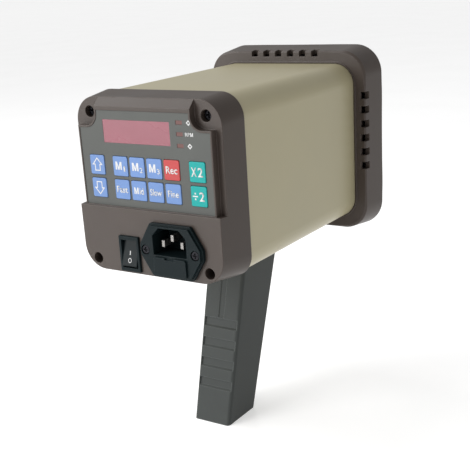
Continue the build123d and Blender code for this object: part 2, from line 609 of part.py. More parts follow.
with BuildPart() as tie_rods:
    with BuildSketch(across(ROD_END)):
        with Locations(*SCREW_SPOTS):
            RegularPolygon(ROD_R, 6)
    extrude(amount=ROD_END - BOSS_END)
    with BuildSketch(across(BOSS_END)):
        with Locations(*SCREW_SPOTS):
            Circle(SCREW_SHANK_R)
    extrude(amount=-12, mode=Mode.SUBTRACT)
    with BuildSketch(across(ROD_END)):
        with Locations(*SCREW_SPOTS):
            Circle(SCREW_SHANK_R)
    extrude(amount=12, mode=Mode.SUBTRACT)
save(tie_rods, "tie_rods")

FRONT_SEAT = FRONT_Y - 4.2
with BuildPart() as front_screws:
    with BuildSketch(across(FRONT_SEAT)):
        with Locations(*SCREW_SPOTS):
            Circle(SCREW_HEAD_R)
    extrude(amount=-SCREW_HEAD_H)
    fillet(front_screws.faces().sort_by(Axis.Y)[-4:].edges(), 0.8)
    with BuildSketch(across(FRONT_SEAT)):
        with Locations(*SCREW_SPOTS):
            Circle(SCREW_SHANK_R)
    extrude(amount=FRONT_SEAT - ROD_END + 10)
    extrude(crosses(FRONT_SEAT + SCREW_HEAD_H, SCREW_SPOTS, 4.2), amount=1.6, mode=Mode.SUBTRACT)
save(front_screws, "front_screws")

# ---- Lamp head ----------------------------------------------------------------------------------------------------
RING_SCREWS = [(RING_SCREW_R, 0), (0, RING_SCREW_R), (-RING_SCREW_R, 0), (0, -RING_SCREW_R)]
with BuildPart() as lens_ring:
    with BuildSketch(across(FRONT_Y)):
        Circle(RING_OUT_R)
        Circle(RING_IN_R, mode=Mode.SUBTRACT)
        with Locations(*RING_SCREWS):
            Circle(1.4, mode=Mode.SUBTRACT)
    extrude(amount=-RING_T)
    fillet(lens_ring.edges().filter_by(GeomType.CIRCLE).sort_by(Axis.Y)[-2:], 0.7)
save(lens_ring, "lens_ring")

with BuildPart() as ring_screws:
    with BuildSketch(across(FRONT_Y + RING_T)):
        with Locations(*RING_SCREWS):
            Circle(2.3)
    extrude(amount=-1.4)
    fillet(ring_screws.faces().sort_by(Axis.Y)[-4:].edges(), 0.5)
    with BuildSketch(across(FRONT_Y + RING_T)):
        with Locations(*RING_SCREWS):
            Circle(1.15)
    extrude(amount=RING_T + 6)
    extrude(crosses(FRONT_Y + RING_T + 1.4, RING_SCREWS, 2.8), amount=0.9, mode=Mode.SUBTRACT)
save(ring_screws, "ring_screws")

with BuildPart() as lens:
    with BuildSketch(across(FRONT_Y - LENS_T - 0.05)):
        Circle(LENS_R)
    extrude(amount=-LENS_T)
save(lens, "lens")

with BuildPart() as lens_gasket:
    with BuildSketch(across(REFLECTOR_FRONT + REFLECTOR_WALL)):
        Circle(LENS_R)
        Circle(REFLECTOR_MOUTH_R, mode=Mode.SUBTRACT)
    extrude(amount=-(FRONT_Y - LENS_T - 0.05 - REFLECTOR_FRONT - REFLECTOR_WALL))
save(lens_gasket, "lens_gasket")


with BuildPart() as reflector:
    with BuildSketch(beside(0)):
        with BuildLine():
            back, front, wall = REFLECTOR_BACK, REFLECTOR_FRONT, REFLECTOR_WALL
            hole, mouth = AXIS_Z + REFLECTOR_HOLE_R, AXIS_Z + REFLECTOR_MOUTH_R
            waist_y, waist_z = back + 0.26 * (front - back), hole + 0.60 * (mouth - hole)
            ThreePointArc((back, hole), (waist_y, waist_z), (front, mouth))
            Line((front, mouth), (front, mouth + wall))
            ThreePointArc((front, mouth + wall), (waist_y - wall * 0.7, waist_z + wall * 0.7), (back - wall, hole))
            Line((back - wall, hole), (back, hole))
        make_face()
    revolve(axis=Axis((0, 0, AXIS_Z), (0, 1, 0)))
    with BuildSketch(across(REFLECTOR_FRONT)):
        Circle(LENS_R)
        Circle(REFLECTOR_MOUTH_R, mode=Mode.SUBTRACT)
    extrude(amount=-REFLECTOR_WALL)
save(reflector, "reflector")

TUBE_R, TUBE_BEND, TUBE_TIP = 2.6, 5.4, REFLECTOR_BACK + 26
BASE_R, BASE_FRONT = 8.6, REFLECTOR_BACK + 3
with BuildPart() as flash_tube:
    with BuildLine():
        Line((-TUBE_BEND, BASE_FRONT - 6, AXIS_Z), (-TUBE_BEND, TUBE_TIP, AXIS_Z))
        ThreePointArc((-TUBE_BEND, TUBE_TIP, AXIS_Z), (0, TUBE_TIP + TUBE_BEND, AXIS_Z), (TUBE_BEND, TUBE_TIP, AXIS_Z))
        Line((TUBE_BEND, TUBE_TIP, AXIS_Z), (TUBE_BEND, BASE_FRONT - 6, AXIS_Z))
    with BuildSketch(Plane(origin=(-TUBE_BEND, BASE_FRONT - 6, AXIS_Z), z_dir=(0, 1, 0))):
        Circle(TUBE_R)
    sweep()
save(flash_tube, "flash_tube")

with BuildPart() as tube_base:
    with BuildSketch(across(BASE_FRONT)):
        Circle(BASE_R)
    extrude(amount=BASE_FRONT - BULKHEAD_Y)
    with BuildSketch(across(BASE_FRONT)):
        with Locations((-TUBE_BEND, 0), (TUBE_BEND, 0)):
            Circle(TUBE_R)
    extrude(amount=6, mode=Mode.SUBTRACT)
save(tube_base, "tube_base")

with BuildPart() as bulkhead:
    with BuildSketch(across(BULKHEAD_Y)):
        RectangleRounded(106, 106, 12.5)
        with Locations(*SCREW_SPOTS):
            Circle(ROD_R + 0.3, mode=Mode.SUBTRACT)
        with Locations((0, 24)):
            Circle(6, mode=Mode.SUBTRACT)
    extrude(amount=2)
save(bulkhead, "bulkhead")

# ---- Works inside the sleeve --------------------------------------------------------------------------------------
FLOOR_Z = AXIS_Z - SLEEVE_SIZE / 2 + SLEEVE_WALL
CHASSIS_T, CHASSIS_W, CHASSIS_START, CHASSIS_END = 1.5, 78.0, JOINT_Y - 4.0, BULKHEAD_Y - 4.0
CHASSIS_TOP = FLOOR_Z + CHASSIS_T
with BuildPart() as chassis_plate:
    with BuildSketch(level(FLOOR_Z)):
        with Locations((0, (CHASSIS_START + CHASSIS_END) / 2)):
            Rectangle(CHASSIS_W, CHASSIS_END - CHASSIS_START)
        with Locations(*BOLT_SPOTS):
            Circle(2.7, mode=Mode.SUBTRACT)
    extrude(amount=CHASSIS_T)
save(chassis_plate, "chassis_plate")

CORE_W, CORE_D, CORE_H, LIMB, CORE_Y = 66.0, 37.0, 53.5, 22.0, -7.8
WINDOW_GAP, YOKE = 11.0, 11.0
with BuildPart() as transformer_core:
    with BuildSketch(Plane(origin=(0, CORE_Y + CORE_D / 2, CHASSIS_TOP + CORE_H / 2), x_dir=(1, 0, 0), z_dir=(0, -1, 0))):
        Rectangle(CORE_W, CORE_H)
        with Locations(*[(s * (LIMB + WINDOW_GAP) / 2, 0) for s in (-1, 1)]):
            Rectangle(WINDOW_GAP, CORE_H - 2 * YOKE, mode=Mode.SUBTRACT)
    extrude(amount=CORE_D)
save(transformer_core, "transformer_core")

with BuildPart() as transformer_winding:
    with BuildSketch(level(CHASSIS_TOP + YOKE + 0.3)):
        with Locations((0, CORE_Y)):
            RectangleRounded(LIMB + 2 * WINDOW_GAP - 0.6, CORE_D + 2 * WINDOW_GAP, 4)
            Rectangle(LIMB + 0.4, CORE_D + 0.4, mode=Mode.SUBTRACT)
    extrude(amount=CORE_H - 2 * YOKE - 0.6)
save(transformer_winding, "transformer_winding")

MAIN_Z, MAIN_W, MAIN_START, MAIN_END = AXIS_Z + 2.0, 88.0, REAR_Y + 30.0, BULKHEAD_Y - 6.0
SPACER_SPOTS = [(s * 35.0, y) for s in (-1, 1) for y in (MAIN_START + 4, MAIN_END - 5)]
with BuildPart() as board_spacers:
    with BuildSketch(level(CHASSIS_TOP)):
        with Locations(*SPACER_SPOTS):
            RegularPolygon(3.2, 6)
    extrude(amount=MAIN_Z - CHASSIS_TOP)
save(board_spacers, "board_spacers")

with BuildPart() as main_board:
    with BuildSketch(level(MAIN_Z)):
        with Locations((0, (MAIN_START + MAIN_END) / 2)):
            Rectangle(MAIN_W, MAIN_END - MAIN_START)
    extrude(amount=BOARD_T)
save(main_board, "main_board")

BOARD_TOP = MAIN_Z + BOARD_T
with BuildPart() as capacitors:
    with BuildSketch(level(BOARD_TOP)):
        with Locations((-24, 25), (6, 25)):
            Circle(12.0)
        with Locations((31, 29), (31, 15.5)):
            Circle(5.0)
    extrude(amount=36)
    fillet(capacitors.faces().sort_by(Axis.Z)[-4:].edges(), 1.2)
save(capacitors, "capacitors")

with BuildPart() as trigger_coil:
    with BuildSketch(level(BOARD_TOP)):
        with Locations((-22, -2)):
            RectangleRounded(18, 22, 2)
    extrude(amount=24)
save(trigger_coil, "trigger_coil")

with BuildPart() as chips:
    with BuildSketch(level(BOARD_TOP)):
        with Locations((14, -6), (14, 6), (34, -6)):
            Rectangle(16, 7)
    extrude(amount=3.6)
save(chips, "chips")

# ---- Grip ---------------------------------------------------------------------------------------------------------
WEB = 7.0


def grip_section(z, inset):
    """The grip's level cross-section at height z, drawn inset from its outside."""
    part = z / GRIP_TOP_Z
    width = FOOT_W + (GRIP_TOP_W - FOOT_W) * part - 2 * inset
    deep = FOOT_D + (GRIP_TOP_D - FOOT_D) * part - 2 * inset
    with BuildSketch(level(z)) as section:
        with Locations((0, GRIP_TOP_Y * part)):
            RectangleRounded(width, deep, max(0.8, FOOT_R - inset))
    return section.sketch


def rear_edge(z):
    """The grip's rearmost y at height z."""
    part = z / GRIP_TOP_Z
    return GRIP_TOP_Y * part - (FOOT_D + (GRIP_TOP_D - FOOT_D) * part) / 2


with BuildPart() as grip:
    loft([grip_section(0, 0), grip_section(GRIP_TOP_Z, 0)])
    loft([grip_section(-0.01, GRIP_WALL), grip_section(GRIP_TOP_Z - WEB, GRIP_WALL)], mode=Mode.SUBTRACT)
    for step in range(GROOVE_COUNT):  # finger steps: square above, sloping out below
        high, low = (GROOVE_FIRST_Z - step * GROOVE_PITCH + side * GROOVE_H / 2 for side in (1, -1))
        with BuildSketch(beside(-GROOVE_W / 2)):
            with BuildLine():
                Polyline(
                    (rear_edge(high) - 2, high),
                    (rear_edge(high) + GROOVE_DEPTH, high - 0.4),
                    (rear_edge(low) + GROOVE_DEPTH + 0.3, low + 1.4),
                    (rear_edge(low) - 0.2, low),
                    (rear_edge(low) - 2, low),
                    close=True,
                )
            make_face()
        extrude(amount=GROOVE_W, mode=Mode.SUBTRACT)
    with BuildSketch(beside(-SEAM_W / 2)):  # shallow seam above the steps
        with BuildLine():
            Polyline(
                (rear_edge(SEAM_LOW) - 1, SEAM_LOW),
                (rear_edge(SEAM_LOW) + SEAM_DEPTH, SEAM_LOW),
                (rear_edge(SEAM_HIGH) + SEAM_DEPTH, SEAM_HIGH),
                (rear_edge(SEAM_HIGH) - 1, SEAM_HIGH),
                close=True,
            )
        make_face()
    extrude(amount=SEAM_W, mode=Mode.SUBTRACT)
    with BuildSketch(level(GRIP_TOP_Z - WEB)):
        with Locations(*BOLT_SPOTS):
            Circle(2.7)
    extrude(amount=WEB, mode=Mode.SUBTRACT)
save(grip, "grip")

CAP_T = 6.0
with BuildPart() as grip_cap:
    loft([grip_section(0, GRIP_WALL + 0.05), grip_section(CAP_T, GRIP_WALL + 0.05)])
save(grip_cap, "grip_cap")

with BuildPart() as grip_bolts:
    with BuildSketch(level(GRIP_TOP_Z - WEB)):
        with Locations(*BOLT_SPOTS):
            Circle(4.2)
    extrude(amount=-4)
    with BuildSketch(level(GRIP_TOP_Z - WEB)):
        with Locations(*BOLT_SPOTS):
            Circle(2.4)
    extrude(amount=WEB + SLEEVE_WALL + CHASSIS_T + 6)
    with BuildSketch(level(GRIP_TOP_Z - WEB - 4)):
        with Locations(*BOLT_SPOTS):
            RegularPolygon(2.3, 6)
    extrude(amount=2.4, mode=Mode.SUBTRACT)
save(grip_bolts, "grip_bolts")

with BuildPart() as grip_nuts:
    with BuildSketch(level(CHASSIS_TOP)):
        with Locations(*BOLT_SPOTS):
            RegularPolygon(4.6, 6)
            Circle(2.4, mode=Mode.SUBTRACT)
    extrude(amount=4)
save(grip_nuts, "grip_nuts")


# ---- Wiring -------------------------------------------------------------------------------------------------------
def lead(start, middle, end, radius):
    """One round lead along a single curve."""
    with BuildLine() as run:
        ThreePointArc(start, middle, end)
    with BuildSketch(Plane(origin=run.line @ 0, z_dir=run.line % 0)) as section:
        Circle(radius)
    sweep(section.sketch, path=run.line)


LEAD_R = 1.1
with BuildPart() as lamp_leads:
    for side in (-4.0, 4.0):
        lead(
            (side, BULKHEAD_Y - 2.6, AXIS_Z + 24),
            (side, MAIN_END - 2.6, AXIS_Z + 15),
            (side, MAIN_END - 5.0, BOARD_TOP + 1.3),
            LEAD_R,
        )
save(lamp_leads, "lamp_leads")

with BuildPart() as mains_leads:
    for x, z in PIN_SPOTS[0:2]:
        lead(
            (x, REAR_Y + INLET_DEPTH + PIN_TAIL - 2.5, AXIS_Z + z + PIN_H / 2 + 0.1),
            (x, REAR_Y + INLET_DEPTH + PIN_TAIL - 1.6, AXIS_Z + z + PIN_H / 2 + 15),
            (x, MAIN_START + 4.0, MAIN_Z - 1.3),
            LEAD_R,
        )
save(mains_leads, "mains_leads")
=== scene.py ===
"""Looks of the hand-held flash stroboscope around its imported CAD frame. Metres, in the frame's own axes:
+Z up, +Y the way the lamp flashes, +X to the right of a user who reads the control panel."""

import json
import math

import bmesh
import bpy
from mathutils import Matrix, Vector


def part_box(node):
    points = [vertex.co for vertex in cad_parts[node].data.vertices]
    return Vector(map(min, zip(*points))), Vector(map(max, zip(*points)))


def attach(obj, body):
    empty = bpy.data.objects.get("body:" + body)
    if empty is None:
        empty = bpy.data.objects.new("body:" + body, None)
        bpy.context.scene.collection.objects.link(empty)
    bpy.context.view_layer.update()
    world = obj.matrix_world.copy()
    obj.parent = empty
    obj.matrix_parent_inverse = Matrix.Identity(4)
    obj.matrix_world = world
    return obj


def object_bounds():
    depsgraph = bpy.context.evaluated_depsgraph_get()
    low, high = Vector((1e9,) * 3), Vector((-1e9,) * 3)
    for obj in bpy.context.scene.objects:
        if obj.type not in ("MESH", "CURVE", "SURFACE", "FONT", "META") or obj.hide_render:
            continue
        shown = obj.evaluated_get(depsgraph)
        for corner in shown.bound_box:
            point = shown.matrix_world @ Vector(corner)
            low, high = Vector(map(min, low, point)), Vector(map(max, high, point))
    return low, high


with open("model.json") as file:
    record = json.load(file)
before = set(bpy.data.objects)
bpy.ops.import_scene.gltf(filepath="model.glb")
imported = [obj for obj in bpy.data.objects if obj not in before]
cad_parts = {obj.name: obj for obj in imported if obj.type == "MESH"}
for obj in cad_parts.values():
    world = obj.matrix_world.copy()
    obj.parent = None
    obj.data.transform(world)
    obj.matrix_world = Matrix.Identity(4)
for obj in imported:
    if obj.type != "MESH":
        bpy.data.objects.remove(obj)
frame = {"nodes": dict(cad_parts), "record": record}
CAD_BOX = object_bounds()
NODES = frame["nodes"]
SCENE = bpy.context.scene
MM = 0.001


# ---- Materials ------------------------------------------------------------------------------------
def material(name, rough=0.5, metal=0.0, **sockets):
    """A new Principled material, its node tree and its shader; sockets are the shader's values by name."""
    made = bpy.data.materials.new(name)
    made.use_nodes = True
    tree = made.node_tree
    shader = tree.nodes["Principled BSDF"]
    shader.inputs["Roughness"].default_value = rough
    shader.inputs["Metallic"].default_value = metal
    for key, value in sockets.items():
        shader.inputs[key.replace("_", " ")].default_value = value
    return made, tree, shader


def place(tree, stretch=(1, 1, 1)):
    """Object coordinates, stretched per axis."""
    spot = tree.nodes.new("ShaderNodeTexCoord")
    turn = tree.nodes.new("ShaderNodeMapping")
    turn.inputs["Scale"].default_value = stretch
    tree.links.new(spot.outputs["Object"], turn.inputs["Vector"])
    return turn.outputs["Vector"]


def noise(tree, where, scale, detail=3.0, rough=0.5, warp=0.0):
    """Noise from 0 to 1; scale is about how many features fit in a metre."""
    made = tree.nodes.new("ShaderNodeTexNoise")
    made.inputs["Scale"].default_value = scale
    made.inputs["Detail"].default_value = detail
    made.inputs["Roughness"].default_value = rough
    made.inputs["Distortion"].default_value = warp
    tree.links.new(where, made.inputs["Vector"])
    return made.outputs["Fac"]


def spread(tree, value, low, high, to_low=0.0, to_high=1.0):
    """Maps a value from one range to another, clamped."""
    made = tree.nodes.new("ShaderNodeMapRange")
    for key, number in (("From Min", low), ("From Max", high), ("To Min", to_low), ("To Max", to_high)):
        made.inputs[key].default_value = number
    tree.links.new(value, made.inputs["Value"])
    return made.outputs["Result"]


def maths(tree, kind, a, b):
    """Works out a number from two numbers or sockets, clamped to 0 to 1 unless it is a difference."""
    made = tree.nodes.new("ShaderNodeMath")
    made.operation = kind
    made.use_clamp = kind != "SUBTRACT"
    for socket, value in zip(made.inputs, (a, b)):
        if isinstance(value, (int, float)):
            socket.default_value = value
        else:
            tree.links.new(value, socket)
    return made.outputs["Value"]


def mix(tree, share, a, b):
    """Colour a where share is 0 and b where it is 1; each is a colour or a socket."""
    made = tree.nodes.new("ShaderNodeMix")
    made.data_type = "RGBA"
    tree.links.new(share, made.inputs["Factor"])
    for socket, value in ((made.inputs[6], a), (made.inputs[7], b)):
        if isinstance(value, tuple):
            socket.default_value = (*value, 1)
        else:
            tree.links.new(value, socket)
    return made.outputs[2]


def edges(tree, radius):
    """A rounded normal, and a mask of the edges from how far it turns from the true normal."""
    soft = tree.nodes.new("ShaderNodeBevel")
    soft.samples = 6
    soft.inputs["Radius"].default_value = radius
    true = tree.nodes.new("ShaderNodeNewGeometry")
    dot = tree.nodes.new("ShaderNodeVectorMath")
    dot.operation = "DOT_PRODUCT"
    tree.links.new(soft.outputs["Normal"], dot.inputs[0])
    tree.links.new(true.outputs["Normal"], dot.inputs[1])
    return soft.outputs["Normal"], spread(tree, dot.outputs["Value"], 0.985, 0.90)


def bump(tree, height, strength, distance, normal=None):
    """A normal that follows a height, distance metres deep, on top of an optional other normal."""
    made = tree.nodes.new("ShaderNodeBump")
    made.inputs["Strength"].default_value = strength
    made.inputs["Distance"].default_value = distance
    tree.links.new(height, made.inputs["Height"])
    if normal is not None:
        tree.links.new(normal, made.inputs["Normal"])
    return made.outputs["Normal"]


def shade(color, by):
    """A colour made lighter or darker by a factor."""
    return tuple(min(1.0, c * by) for c in color)


def moulded(name, color, rough=0.5, grain=1400, depth=0.00004, edge_wear_and_highlight=1.6, edge=0.0005, gloss_level=0.3):
    """Moulded or printed plastic: fine texture, faint handling marks, and edges made lighter, partly as
    rubbed wear and partly as a painted highlight.

    grain is the texture's features per metre. depth, its height, and edge, how far the lightened edges reach,
    are in metres. The factor just before edge is how much lighter the edge colour is, wear and painted
    highlight together."""
    made, tree, shader = material(name, rough, Specular_IOR_Level=gloss_level)
    where = place(tree)
    normal, rim = edges(tree, edge)
    broad = noise(tree, where, 22, 4, 0.6, 0.3)
    fine = noise(tree, where, grain, 2, 0.6)
    marks = spread(tree, noise(tree, where, 130, 6, 0.75, 1.0), 0.60, 0.78)
    body = mix(tree, spread(tree, broad, 0.3, 0.7), shade(color, 0.93), shade(color, 1.08))
    body = mix(tree, maths(tree, "MULTIPLY", marks, 0.16), body, shade(color, 1.35))
    # Edges made lighter: partly rubbed wear, partly a painted highlight where an edge would catch the light.
    body = mix(tree, maths(tree, "MULTIPLY", rim, 0.55), body, shade(color, edge_wear_and_highlight))
    tree.links.new(body, shader.inputs["Base Color"])
    uneven = spread(tree, broad, 0.25, 0.75, rough - 0.05, rough + 0.05)
    gloss = maths(tree, "ADD", uneven, maths(tree, "MULTIPLY", marks, 0.08))
    gloss = maths(tree, "SUBTRACT", gloss, maths(tree, "MULTIPLY", rim, 0.10))
    tree.links.new(gloss, shader.inputs["Roughness"])
    tree.links.new(bump(tree, fine, 0.35, depth, normal), shader.inputs["Normal"])
    return made


def painted(name, color, rough=0.36):
    """Satin stove paint on folded sheet: orange peel, faint lengthwise rub marks and a little dust."""
    made, tree, shader = material(name, rough)
    where = place(tree)
    along = place(tree, (1, 0.04, 1))
    normal, rim = edges(tree, 0.0006)
    broad = noise(tree, where, 11, 4, 0.55, 0.4)
    peel = noise(tree, where, 520, 2, 0.5)
    rubs = spread(tree, noise(tree, along, 420, 3, 0.6), 0.66, 0.80)
    dust = spread(tree, noise(tree, where, 900, 5, 0.8, 0.5), 0.68, 0.80)
    body = mix(tree, spread(tree, broad, 0.3, 0.7), shade(color, 0.955), shade(color, 1.035))
    body = mix(tree, maths(tree, "MULTIPLY", rubs, 0.10), body, shade(color, 0.80))
    body = mix(tree, maths(tree, "MULTIPLY", dust, 0.10), body, (0.32, 0.30, 0.26))
    body = mix(tree, maths(tree, "MULTIPLY", rim, 0.35), body, shade(color, 1.2))
    tree.links.new(body, shader.inputs["Base Color"])
    uneven = spread(tree, broad, 0.25, 0.75, rough - 0.05, rough + 0.05)
    gloss = maths(tree, "ADD", uneven, maths(tree, "MULTIPLY", rubs, 0.10))
    tree.links.new(gloss, shader.inputs["Roughness"])
    tree.links.new(bump(tree, peel, 0.22, 0.00005, normal), shader.inputs["Normal"])
    return made


def metal(name, color, rough, grain=900, stretch=(1, 1, 1)):
    """Bare or plated metal with turning or rolling marks and uneven gloss."""
    made, tree, shader = material(name, rough, 1.0)
    where = place(tree, stretch)
    normal, rim = edges(tree, 0.0002)
    lines = noise(tree, where, grain, 3, 0.6)
    broad = noise(tree, where, 90, 4, 0.6)
    body = mix(tree, spread(tree, broad, 0.3, 0.7), shade(color, 0.88), shade(color, 1.08))
    body = mix(tree, maths(tree, "MULTIPLY", rim, 0.5), body, shade(color, 1.35))
    tree.links.new(body, shader.inputs["Base Color"])
    tree.links.new(spread(tree, lines, 0.3, 0.7, rough - 0.06, rough + 0.09), shader.inputs["Roughness"])
    tree.links.new(bump(tree, lines, 0.2, 0.00002, normal), shader.inputs["Normal"])
    return made


def clear(name, color):
    """Clear glass or plastic with a slightly uneven, faintly smeared surface."""
    made, tree, shader = material(name, 0.02, IOR=1.49, Transmission_Weight=1.0)
    where = place(tree)
    broad = noise(tree, where, 60, 3, 0.5)
    body = mix(tree, spread(tree, broad, 0.3, 0.7), shade(color, 0.97), color)
    tree.links.new(body, shader.inputs["Base Color"])
    smears = noise(tree, where, 240, 5, 0.7)
    tree.links.new(spread(tree, smears, 0.45, 0.8, 0.02, 0.08), shader.inputs["Roughness"])
    tree.links.new(bump(tree, broad, 0.12, 0.00003), shader.inputs["Normal"])
    return made


def window_filter(name, color):
    """A tinted display filter: faint flecks in the film, under a smooth face."""
    made, tree, shader = material(name, 0.24, Coat_Weight=0.1, Coat_Roughness=0.2)
    where = place(tree)
    broad = noise(tree, where, 30, 3, 0.5)
    fleck = noise(tree, where, 1500, 3, 0.7)
    body = mix(tree, spread(tree, broad, 0.3, 0.7), shade(color, 0.93), shade(color, 1.06))
    body = mix(tree, spread(tree, fleck, 0.45, 0.75, 0, 0.25), body, shade(color, 0.72))
    tree.links.new(body, shader.inputs["Base Color"])
    tree.links.new(spread(tree, broad, 0.3, 0.7, 0.20, 0.30), shader.inputs["Roughness"])
    tree.links.new(bump(tree, fleck, 0.10, 0.00002), shader.inputs["Normal"])
    return made


# One look for each material slot of the frame.
LOOKS = {
    "housing": moulded(
        "housing_plastic", (0.056, 0.043, 0.036), 0.40, 1300, 0.00005, 1.7, 0.0007, gloss_level=0.32
    ),
    "sleeve": painted("sleeve_paint", (0.375, 0.338, 0.212)),
    "panel_film": moulded(
        "panel_film", (0.094, 0.098, 0.092), 0.50, 2200, 0.00002, 1.5, 0.0003, gloss_level=0.2
    ),
    "membrane": moulded("membrane", (0.5, 0.5, 0.48), 0.5),
    "key_blue": moulded("key_blue", (0.135, 0.235, 0.480), 0.40, 2000, 0.00002, 1.25, 0.0004),
    "key_red": moulded("key_red", (0.430, 0.052, 0.052), 0.40, 2000, 0.00002, 1.2, 0.0004),
    "key_teal": moulded("key_teal", (0.000, 0.310, 0.290), 0.40, 2000, 0.00002, 1.25, 0.0004),
    "window_red": window_filter("window_red", (0.240, 0.060, 0.084)),
    "display_black": moulded("display_black", (0.03, 0.02, 0.02), 0.5),
    "led_red": moulded("led_red", (0.140, 0.066, 0.060), 0.45, 1800, 0.00002, 1.2, 0.0002),
    "circuit_board": moulded("circuit_board", (0.03, 0.20, 0.09), 0.4),
    # The black parts have strongly lightened edges, which paint highlights along their edges as well as wear.
    "black_plastic": moulded(
        "black_plastic", (0.0062, 0.0115, 0.0130), 0.42, 1600, 0.00003, 3.2, 0.0004, gloss_level=0.10
    ),
    "rocker_black": moulded(
        "rocker_black", (0.0058, 0.0100, 0.0112), 0.34, 1500, 0.00003, 3.6, 0.0005, gloss_level=0.12
    ),
    "contact_metal": metal("contact_metal", (0.24, 0.23, 0.22), 0.42, 1500, (1, 0.2, 1)),
    "clear_glass": clear("clear_glass", (0.95, 0.97, 0.98)),
    "lens_clear": clear("lens_clear", (0.95, 0.97, 0.97)),
    "dark_steel": metal("dark_steel", (0.022, 0.022, 0.025), 0.42),
    "plain_steel": metal("plain_steel", (0.60, 0.60, 0.60), 0.30),
    "plain_aluminium": metal("plain_aluminium", (0.72, 0.72, 0.73), 0.34, 700, (1, 0.1, 1)),
    "ring_black": moulded("ring_black", (0.020, 0.020, 0.021), 0.36, 1500, 0.00003, 3.0, 0.0005),
    "gasket_rubber": moulded("gasket_rubber", (0.02, 0.02, 0.02), 0.7),
    "reflector_bright": metal("reflector_bright", (0.90, 0.90, 0.91), 0.12, 500, (1, 0.15, 1)),
    "ceramic": moulded("ceramic", (0.72, 0.70, 0.64), 0.55, 900, 0.00006),
    "core_iron": metal("core_iron", (0.25, 0.24, 0.23), 0.5),
    "winding": moulded("winding_tape", (0.62, 0.48, 0.12), 0.4),
    "capacitor_sleeve": moulded("capacitor_sleeve", (0.03, 0.05, 0.16), 0.3),
    "coil_case": moulded("coil_case", (0.03, 0.03, 0.03), 0.4),
    "lead_sheath": moulded("lead_sheath", (0.5, 0.07, 0.05), 0.45),
    # Its strongly lightened edges paint the highlights along the steps of the grip, as well as wear.
    "grip_plastic": moulded(
        "grip_plastic", (0.052, 0.057, 0.055), 0.44, 1100, 0.00006, 2.6, 0.0011, gloss_level=0.13
    ),
}
INK = moulded("white_ink", (0.62, 0.62, 0.615), 0.5, 1800, 0.00001, 1.05, 0.0001)

for part in frame["record"]["subparts"]:
    for slot in NODES[part["node"]].material_slots:
        slot.material = LOOKS[part["material_slot"]]


# ---- Printed marks --------------------------------------------------------------------------------
PRINT = 0.05 * MM  # how far a mark stands off its face
TYPE_SIZE = 10 * MM  # of typed characters, before they are fitted to their place
MITRE = 0.35  # keeps a sharp corner of a line from reaching too far out


def keep(name, obj, body, look):
    """Names a finished piece, gives it its material and lets it ride on its body."""
    obj.name = name
    obj.data.name = name
    obj.data.materials.clear()
    obj.data.materials.append(look)
    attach(obj, body)


def mesh_of(name, verts, faces):
    """A new object of points in metres and faces, in the scene."""
    data = bpy.data.meshes.new(name)
    data.from_pydata([tuple(v) for v in verts], [], faces)
    data.update()
    obj = bpy.data.objects.new(name, data)
    SCENE.collection.objects.link(obj)
    return obj


def outline_mark(name, points, width, centre, front, body):
    """A printed line of even width round a closed outline of (x, z) points in millimetres about centre."""
    count = len(points)
    rings = []
    for sign in (-0.5, 0.5):
        ring = []
        for i, p in enumerate(points):
            a, b = Vector(points[i - 1]), Vector(points[(i + 1) % count])
            here = Vector(p)
            into, out = (here - a).normalized(), (b - here).normalized()
            side = Vector((-into.y - out.y, into.x + out.x)).normalized()
            reach = width * sign / max(MITRE, side.dot(Vector((-into.y, into.x))))
            ring.append(here + side * reach)
        rings.append(ring)
    verts = []
    for depth in (-PRINT, PRINT):
        for ring in rings:
            verts += [(centre[0] + q.x * MM, front + depth, centre[1] + q.y * MM) for q in ring]
    inner, outer, inner_b, outer_b = 0, count, 2 * count, 3 * count
    faces = []
    for i in range(count):
        j = (i + 1) % count
        faces += [
            (inner + i, inner + j, outer + j, outer + i),
            (inner_b + j, inner_b + i, outer_b + i, outer_b + j),
            (outer + i, outer + j, outer_b + j, outer_b + i),
            (inner + j, inner + i, inner_b + i, inner_b + j),
        ]
    keep(name, mesh_of(name, verts, faces), body, INK)


def word_mark(name, text, size, centre, front, body, tilt=0.0, bold=0.0):
    """Printed characters fitted into a width and height in metres, facing the user behind the tool.

    bold thickens their strokes, in metres at TYPE_SIZE, and tilt turns them about X, in radians."""
    data = bpy.data.curves.new(name, "FONT")
    data.body = text
    data.size = TYPE_SIZE
    data.resolution_u = 4
    data.offset = bold
    lettering = bpy.data.objects.new(name, data)
    SCENE.collection.objects.link(lettering)
    bpy.context.view_layer.update()
    flat = bpy.data.meshes.new_from_object(lettering.evaluated_get(bpy.context.evaluated_depsgraph_get()))
    bpy.data.objects.remove(lettering)
    low = [min(v.co[i] for v in flat.vertices) for i in (0, 1)]
    high = [max(v.co[i] for v in flat.vertices) for i in (0, 1)]
    grow = [size[i] / (high[i] - low[i]) for i in (0, 1)]
    turn = Matrix.Rotation(tilt, 3, "X")
    for v in flat.vertices:
        across, up = ((v.co[i] - (low[i] + high[i]) / 2) * grow[i] for i in (0, 1))
        v.co = turn @ Vector((across, 0, up)) + Vector((centre[0], front, centre[1]))
    work = bmesh.new()
    work.from_mesh(flat)
    lifted = bmesh.ops.extrude_face_region(work, geom=list(work.faces))
    away = turn @ Vector((0, -PRINT, 0))
    raised = [g for g in lifted["geom"] if isinstance(g, bmesh.types.BMVert)]
    bmesh.ops.translate(work, vec=away, verts=raised)
    bmesh.ops.recalc_face_normals(work, faces=work.faces)
    work.to_mesh(flat)
    work.free()
    obj = bpy.data.objects.new(name, flat)
    SCENE.collection.objects.link(obj)
    keep(name, obj, body, INK)


